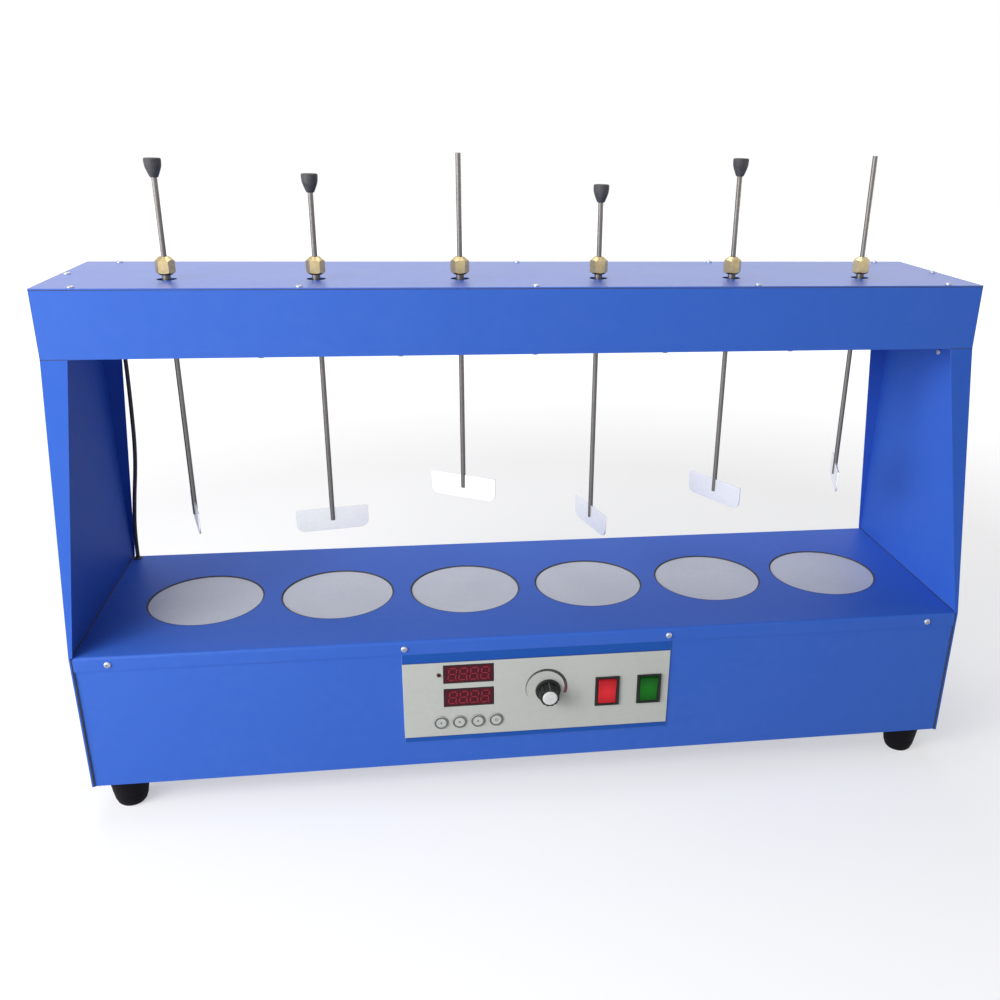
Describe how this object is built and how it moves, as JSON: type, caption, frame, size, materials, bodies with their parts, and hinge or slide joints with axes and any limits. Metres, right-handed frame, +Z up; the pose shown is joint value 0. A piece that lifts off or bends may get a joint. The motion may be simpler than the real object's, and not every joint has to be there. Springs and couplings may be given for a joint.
{
  "type": "jar tester",
  "caption": "Bench jar tester: a stirring head on two side columns turns paddle rods in height-adjustable collets above a base with round lit windows and a control panel.",
  "frame": {"origin": "middle of the bounding box at bench level", "axes": "+X to the operator's right, -Y towards the operator, +Z up"},
  "size_m": [0.9188, 0.2676, 0.6457],
  "materials": {
    "blue_paint": "satin powder coat",
    "frosted_disc": "frosted",
    "bright_steel": "bright drawn",
    "polished_plate": "polished",
    "zinc_screw": "zinc plated",
    "brass": "turned",
    "black_rubber": "moulded",
    "belt_rubber": "matt",
    "panel_silver": "satin",
    "display_red": "tinted window",
    "board_green": "solder mask",
    "key_grey": "satin",
    "black_plastic": "moulded",
    "switch_red": "moulded",
    "switch_green": "moulded",
    "cast_aluminium": "machined",
    "motor_steel": "plated",
    "lamp_glass": "opal"
  },
  "bodies": {
    "cabinet": {"base_shell": "blue_paint", "base_deck": "blue_paint", "window_discs": "frosted_disc", "left_side_panel": "blue_paint", "right_side_panel": "blue_paint", "rubber_feet": "black_rubber", "head_shell": "blue_paint", "head_cover": "blue_paint", "head_bottom_plate": "blue_paint", "case_screws": "zinc_screw", "bearing_blocks": "cast_aluminium", "spindle_bearings": "bright_steel", "drive_belts": "belt_rubber", "drive_motor": "motor_steel", "control_overlay": "panel_silver", "display_modules": "display_red", "control_board": "board_green", "speed_potentiometer": "motor_steel", "switch_bodies": "black_plastic", "lamp_tubes": "lamp_glass", "lamp_holders": "black_plastic", "power_inlet": "black_plastic", "head_lead": "black_rubber", "lead_grommets": "black_rubber"},
    "motor_drive": {"motor_pulley": "cast_aluminium"},
    "speed_control": {"speed_knob": "black_plastic"},
    "red_switch": {"red_rocker": "switch_red"},
    "green_switch": {"green_rocker": "switch_green"},
    "spindle_1_body": {"spindle_1": "bright_steel"},
    "nut_1_body": {"collet_nut_1": "brass"},
    "stirrer_1_body": {"stirrer_rod_1": "bright_steel", "paddle_1": "polished_plate", "rod_cap_1": "black_rubber"},
    "spindle_2_body": {"spindle_2": "bright_steel"},
    "nut_2_body": {"collet_nut_2": "brass"},
    "stirrer_2_body": {"stirrer_rod_2": "bright_steel", "paddle_2": "polished_plate", "rod_cap_2": "black_rubber"},
    "spindle_3_body": {"spindle_3": "bright_steel"},
    "nut_3_body": {"collet_nut_3": "brass"},
    "stirrer_3_body": {"stirrer_rod_3": "bright_steel", "paddle_3": "polished_plate"},
    "spindle_4_body": {"spindle_4": "bright_steel"},
    "nut_4_body": {"collet_nut_4": "brass"},
    "stirrer_4_body": {"stirrer_rod_4": "bright_steel", "paddle_4": "polished_plate", "rod_cap_4": "black_rubber"},
    "spindle_5_body": {"spindle_5": "bright_steel"},
    "nut_5_body": {"collet_nut_5": "brass"},
    "stirrer_5_body": {"stirrer_rod_5": "bright_steel", "paddle_5": "polished_plate", "rod_cap_5": "black_rubber"},
    "spindle_6_body": {"spindle_6": "bright_steel"},
    "nut_6_body": {"collet_nut_6": "brass"},
    "stirrer_6_body": {"stirrer_rod_6": "bright_steel", "paddle_6": "polished_plate"},
    "key_1_body": {"push_key_1": "key_grey"},
    "key_2_body": {"push_key_2": "key_grey"},
    "key_3_body": {"push_key_3": "key_grey"},
    "key_4_body": {"push_key_4": "key_grey"}
  },
  "joints": [
    {"name": "spindle_1_spin", "type": "hinge", "parent": "cabinet", "child": "spindle_1_body", "pos_m": [-0.35, 0.00185, 0.461], "axis": [0, 0, 1], "continuous": true},
    {"name": "nut_1_turn", "type": "hinge", "parent": "spindle_1_body", "child": "nut_1_body", "pos_m": [-0.35, 0.00185, 0.5255], "axis": [0, 0, 1], "range_deg": [0, 180]},
    {"name": "stirrer_1_slide", "type": "slide", "parent": "spindle_1_body", "child": "stirrer_1_body", "axis": [0, 0, 1], "range_m": [-0.07, 0.157]},
    {"name": "spindle_2_spin", "type": "hinge", "parent": "cabinet", "child": "spindle_2_body", "pos_m": [-0.21, 0.00185, 0.461], "axis": [0, 0, 1], "continuous": true},
    {"name": "nut_2_turn", "type": "hinge", "parent": "spindle_2_body", "child": "nut_2_body", "pos_m": [-0.21, 0.00185, 0.5255], "axis": [0, 0, 1], "range_deg": [0, 180]},
    {"name": "stirrer_2_slide", "type": "slide", "parent": "spindle_2_body", "child": "stirrer_2_body", "axis": [0, 0, 1], "range_m": [-0.058, 0.169]},
    {"name": "spindle_3_spin", "type": "hinge", "parent": "cabinet", "child": "spindle_3_body", "pos_m": [-0.07, 0.00185, 0.461], "axis": [0, 0, 1], "continuous": true},
    {"name": "nut_3_turn", "type": "hinge", "parent": "spindle_3_body", "child": "nut_3_body", "pos_m": [-0.07, 0.00185, 0.5255], "axis": [0, 0, 1], "range_deg": [0, 180]},
    {"name": "stirrer_3_slide", "type": "slide", "parent": "spindle_3_body", "child": "stirrer_3_body", "axis": [0, 0, 1], "range_m": [-0.095, 0.137]},
    {"name": "spindle_4_spin", "type": "hinge", "parent": "cabinet", "child": "spindle_4_body", "pos_m": [0.07, 0.00185, 0.461], "axis": [0, 0, 1], "continuous": true},
    {"name": "nut_4_turn", "type": "hinge", "parent": "spindle_4_body", "child": "nut_4_body", "pos_m": [0.07, 0.00185, 0.5255], "axis": [0, 0, 1], "range_deg": [0, 180]},
    {"name": "stirrer_4_slide", "type": "slide", "parent": "spindle_4_body", "child": "stirrer_4_body", "axis": [0, 0, 1], "range_m": [-0.051, 0.176]},
    {"name": "spindle_5_spin", "type": "hinge", "parent": "cabinet", "child": "spindle_5_body", "pos_m": [0.21, 0.00185, 0.461], "axis": [0, 0, 1], "continuous": true},
    {"name": "nut_5_turn", "type": "hinge", "parent": "spindle_5_body", "child": "nut_5_body", "pos_m": [0.21, 0.00185, 0.5255], "axis": [0, 0, 1], "range_deg": [0, 180]},
    {"name": "stirrer_5_slide", "type": "slide", "parent": "spindle_5_body", "child": "stirrer_5_body", "axis": [0, 0, 1], "range_m": [-0.077, 0.15]},
    {"name": "spindle_6_spin", "type": "hinge", "parent": "cabinet", "child": "spindle_6_body", "pos_m": [0.35, 0.00185, 0.461], "axis": [0, 0, 1], "continuous": true},
    {"name": "nut_6_turn", "type": "hinge", "parent": "spindle_6_body", "child": "nut_6_body", "pos_m": [0.35, 0.00185, 0.5255], "axis": [0, 0, 1], "range_deg": [0, 180]},
    {"name": "stirrer_6_slide", "type": "slide", "parent": "spindle_6_body", "child": "stirrer_6_body", "axis": [0, 0, 1], "range_m": [-0.097, 0.134]},
    {"name": "motor_spin", "type": "hinge", "parent": "cabinet", "child": "motor_drive", "pos_m": [-0.288, 0.07785, 0.461], "axis": [0, 0, 1], "continuous": true},
    {"name": "speed_knob_turn", "type": "hinge", "parent": "cabinet", "child": "speed_control", "pos_m": [0.0088, -0.11685, 0.1183], "axis": [0, 1, 0], "range_deg": [-150, 150]},
    {"name": "red_rocker_tilt", "type": "hinge", "parent": "cabinet", "child": "red_switch", "pos_m": [0.072, -0.11585, 0.1134], "axis": [1, 0, 0], "range_deg": [-12, 0]},
    {"name": "green_rocker_tilt", "type": "hinge", "parent": "cabinet", "child": "green_switch", "pos_m": [0.117, -0.11585, 0.1134], "axis": [1, 0, 0], "range_deg": [-12, 0]},
    {"name": "key_1_press", "type": "slide", "parent": "cabinet", "child": "key_1_body", "axis": [0, 1, 0], "range_m": [0, 0.0006], "stiffness_N_per_m": 2000},
    {"name": "key_2_press", "type": "slide", "parent": "cabinet", "child": "key_2_body", "axis": [0, 1, 0], "range_m": [0, 0.0006], "stiffness_N_per_m": 2000},
    {"name": "key_3_press", "type": "slide", "parent": "cabinet", "child": "key_3_body", "axis": [0, 1, 0], "range_m": [0, 0.0006], "stiffness_N_per_m": 2000},
    {"name": "key_4_press", "type": "slide", "parent": "cabinet", "child": "key_4_body", "axis": [0, 1, 0], "range_m": [0, 0.0006], "stiffness_N_per_m": 2000}
  ],
  "couplings": [
    {"joint": "spindle_2_spin", "follows": "spindle_1_spin", "ratio": 1},
    {"joint": "spindle_3_spin", "follows": "spindle_1_spin", "ratio": 1},
    {"joint": "spindle_4_spin", "follows": "spindle_1_spin", "ratio": 1},
    {"joint": "spindle_5_spin", "follows": "spindle_1_spin", "ratio": 1},
    {"joint": "spindle_6_spin", "follows": "spindle_1_spin", "ratio": 1},
    {"joint": "motor_spin", "follows": "spindle_1_spin", "ratio": 1.6612}
  ]
}
